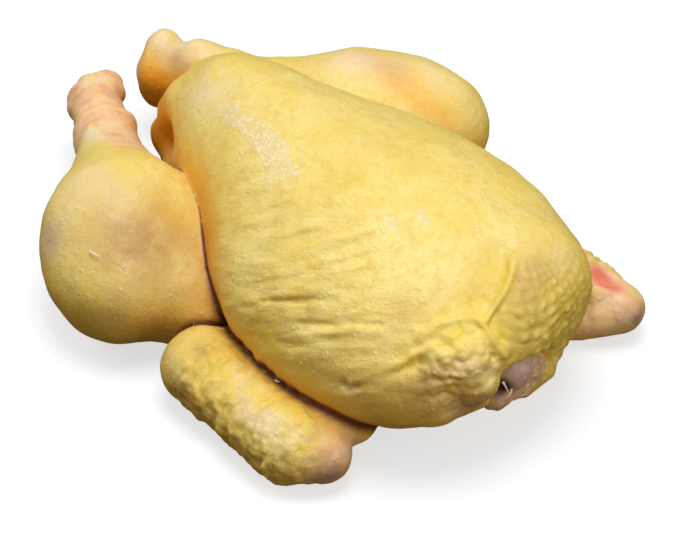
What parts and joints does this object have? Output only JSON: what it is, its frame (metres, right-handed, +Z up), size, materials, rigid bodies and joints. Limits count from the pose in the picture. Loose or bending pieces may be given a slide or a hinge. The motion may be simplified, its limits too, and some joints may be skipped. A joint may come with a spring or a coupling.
{
  "type": "whole raw chicken",
  "caption": "Whole raw chicken lying on its back, breast up, legs cut at the ankle and spread to the rear, wings folded along the sides, loose skin gathered at the neck.",
  "frame": {"origin": "on the surface the bird lies on, under the middle of its overall length and width", "axes": "+X towards the neck end, +Z up through the breast, +Y to the far side in the picture"},
  "size_m": [0.2798, 0.2182, 0.0993],
  "materials": {
    "skin": "raw yellow skin, softly glossy"
  },
  "bodies": {
    "root": {"raw_chicken": "skin"}
  },
  "joints": []
}
